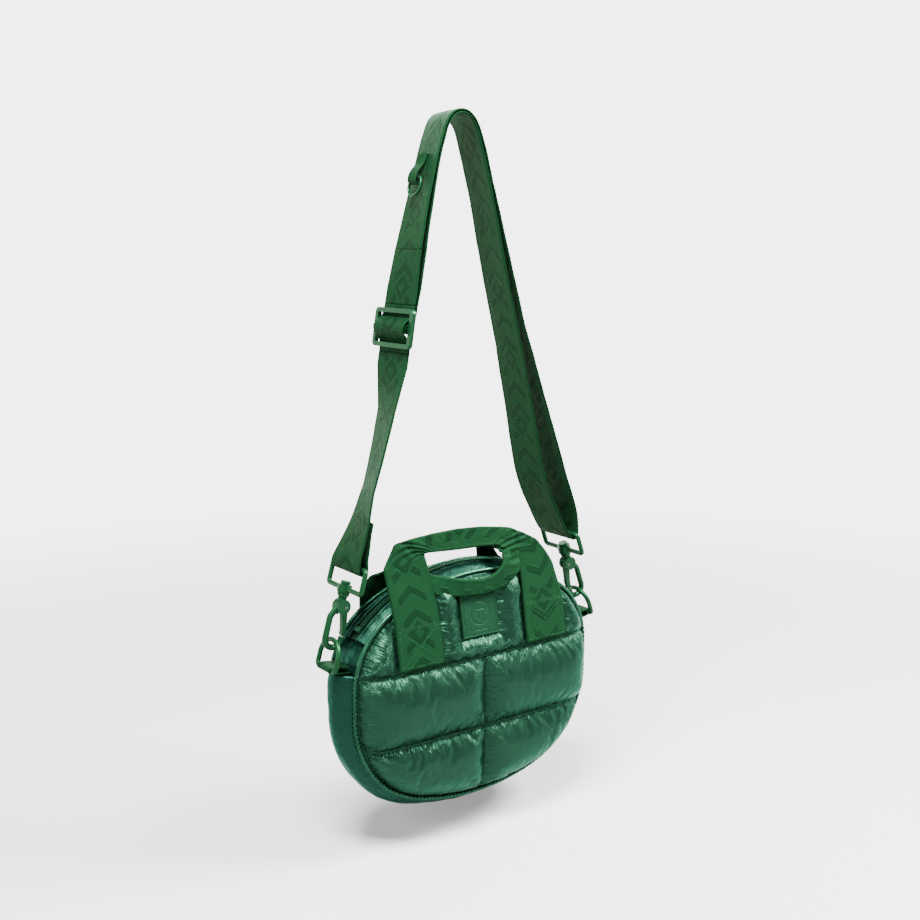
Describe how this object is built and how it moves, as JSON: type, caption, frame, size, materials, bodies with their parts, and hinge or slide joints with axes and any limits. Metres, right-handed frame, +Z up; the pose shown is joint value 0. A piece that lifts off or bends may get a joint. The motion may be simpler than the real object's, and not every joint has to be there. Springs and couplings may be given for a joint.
{
  "type": "shoulder bag",
  "caption": "Small quilted shoulder bag with a padded rounded body, zipped top, two webbing handles and an adjustable webbing strap on swivel snap hooks, hung by its strap.",
  "frame": {"origin": "underside of the strap where it hangs over its peg", "axes": "+X along the bag's width, the zip slider's closed end; -Y out of the front panel; +Z up"},
  "size_m": [0.2388, 0.06, 0.4986],
  "materials": {
    "puffer": "satin metallic",
    "filling": "soft wadding",
    "gusset": "satin metallic",
    "gusset_end": "satin metallic",
    "piping": "gloss metallic",
    "lining": "matte",
    "zip_tape": "matte",
    "zip_coil": "gloss",
    "green_metal": "matte",
    "pin_steel": "satin",
    "webbing": "woven",
    "patch": "satin"
  },
  "bodies": {
    "strap": {"strap_main": "webbing", "strap_return": "webbing", "strap_lower": "webbing", "strap_tail_upper": "webbing", "strap_tail_lower": "webbing", "strap_tail_return": "webbing", "left_hook_eye": "green_metal", "right_hook_eye": "green_metal", "key_tab": "webbing"},
    "adjuster": {"adjuster_frame": "green_metal", "strap_fold": "webbing", "strap_return_end": "webbing"},
    "key_ring": {"key_ring": "green_metal"},
    "left_hook": {"left_hook_body": "green_metal", "left_gate_pin": "pin_steel", "left_gate_spring": "pin_steel"},
    "left_gate": {"left_hook_gate": "green_metal"},
    "right_hook": {"right_hook_body": "green_metal", "right_gate_pin": "pin_steel", "right_gate_spring": "pin_steel"},
    "right_gate": {"right_hook_gate": "green_metal"},
    "bag": {"front_panel": "puffer", "back_panel": "puffer", "front_filling": "filling", "back_filling": "filling", "front_piping": "piping", "back_piping": "piping", "front_binding": "piping", "back_binding": "piping", "lower_gusset": "gusset", "gusset_ends": "gusset_end", "lining": "lining", "zip_strip_front": "gusset_end", "zip_strip_back": "gusset_end", "zip_tape_front": "zip_tape", "zip_tape_back": "zip_tape", "zip_coil_front": "zip_coil", "zip_coil_back": "zip_coil", "zip_stops": "zip_coil", "leather_patch": "patch", "front_handle_base_left": "webbing", "front_handle_base_right": "webbing", "rear_handle_base_left": "webbing", "rear_handle_base_right": "webbing", "side_tab_left": "webbing", "side_tab_right": "webbing"},
    "left_ring": {"side_ring_left": "green_metal"},
    "right_ring": {"side_ring_right": "green_metal"},
    "front_handle": {"front_handle": "webbing"},
    "rear_handle": {"rear_handle": "webbing"},
    "zip_slider": {"zip_slider": "green_metal"},
    "zip_pull": {"zip_pull": "green_metal"}
  },
  "joints": [
    {"name": "bag_swing", "type": "hinge", "parent": "strap", "child": "bag", "pos_m": [0.01, 0, -0.35172], "axis": [1, 0, 0], "range_deg": [-15, 15]},
    {"name": "left_hook_swivel", "type": "hinge", "parent": "strap", "child": "left_hook", "pos_m": [-0.106, 0, -0.3715], "axis": [0.2756, 0, 0.9613], "range_deg": [-15, 15]},
    {"name": "right_hook_swivel", "type": "hinge", "parent": "strap", "child": "right_hook", "pos_m": [0.126, 0, -0.3715], "axis": [-0.342, 0, 0.9397], "range_deg": [-15, 15]},
    {"name": "left_gate_open", "type": "hinge", "parent": "left_hook", "child": "left_gate", "pos_m": [-0.09151, 0, -0.3304], "axis": [0, 1, 0], "range_deg": [0, 20], "stiffness_Nm_per_rad": 0.03, "springref_deg": -17.19},
    {"name": "right_gate_open", "type": "hinge", "parent": "right_hook", "child": "right_gate", "pos_m": [0.10868, 0, -0.33151], "axis": [0, -1, 0], "range_deg": [0, 20], "stiffness_Nm_per_rad": 0.03, "springref_deg": -17.19},
    {"name": "left_ring_tilt", "type": "hinge", "parent": "bag", "child": "left_ring", "pos_m": [-0.106, 0, -0.3715], "axis": [0, 1, 0], "range_deg": [-1.5, 1.5]},
    {"name": "right_ring_tilt", "type": "hinge", "parent": "bag", "child": "right_ring", "pos_m": [0.126, 0, -0.3715], "axis": [0, 1, 0], "range_deg": [-1.5, 1.5]},
    {"name": "front_handle_fold", "type": "hinge", "parent": "bag", "child": "front_handle", "pos_m": [0.01, -0.02321, -0.34523], "axis": [1, 0, 0], "range_deg": [0, 75]},
    {"name": "rear_handle_lift", "type": "hinge", "parent": "bag", "child": "rear_handle", "pos_m": [0.01, 0.02375, -0.34513], "axis": [-1, 0, 0], "range_deg": [0, 8]},
    {"name": "zip_travel", "type": "hinge", "parent": "bag", "child": "zip_slider", "pos_m": [0.01, 0, -0.4429], "axis": [0, -1, 0], "range_deg": [0, 76]},
    {"name": "zip_pull_flip", "type": "hinge", "parent": "zip_slider", "child": "zip_pull", "pos_m": [0.09198, 0, -0.33798], "axis": [0, 1, 0], "range_deg": [0, 80]},
    {"name": "key_ring_swing", "type": "hinge", "parent": "strap", "child": "key_ring", "pos_m": [-0.02874, 0, -0.04028], "axis": [0, 1, 0], "range_deg": [-8, 20]},
    {"name": "adjuster_slide", "type": "slide", "parent": "strap", "child": "adjuster", "axis": [0.1564, 0, 0.9877], "range_m": [-0.028, 0.028], "deforming": ["strap_tail_upper", "strap_tail_lower", "strap_tail_return"]}
  ]
}
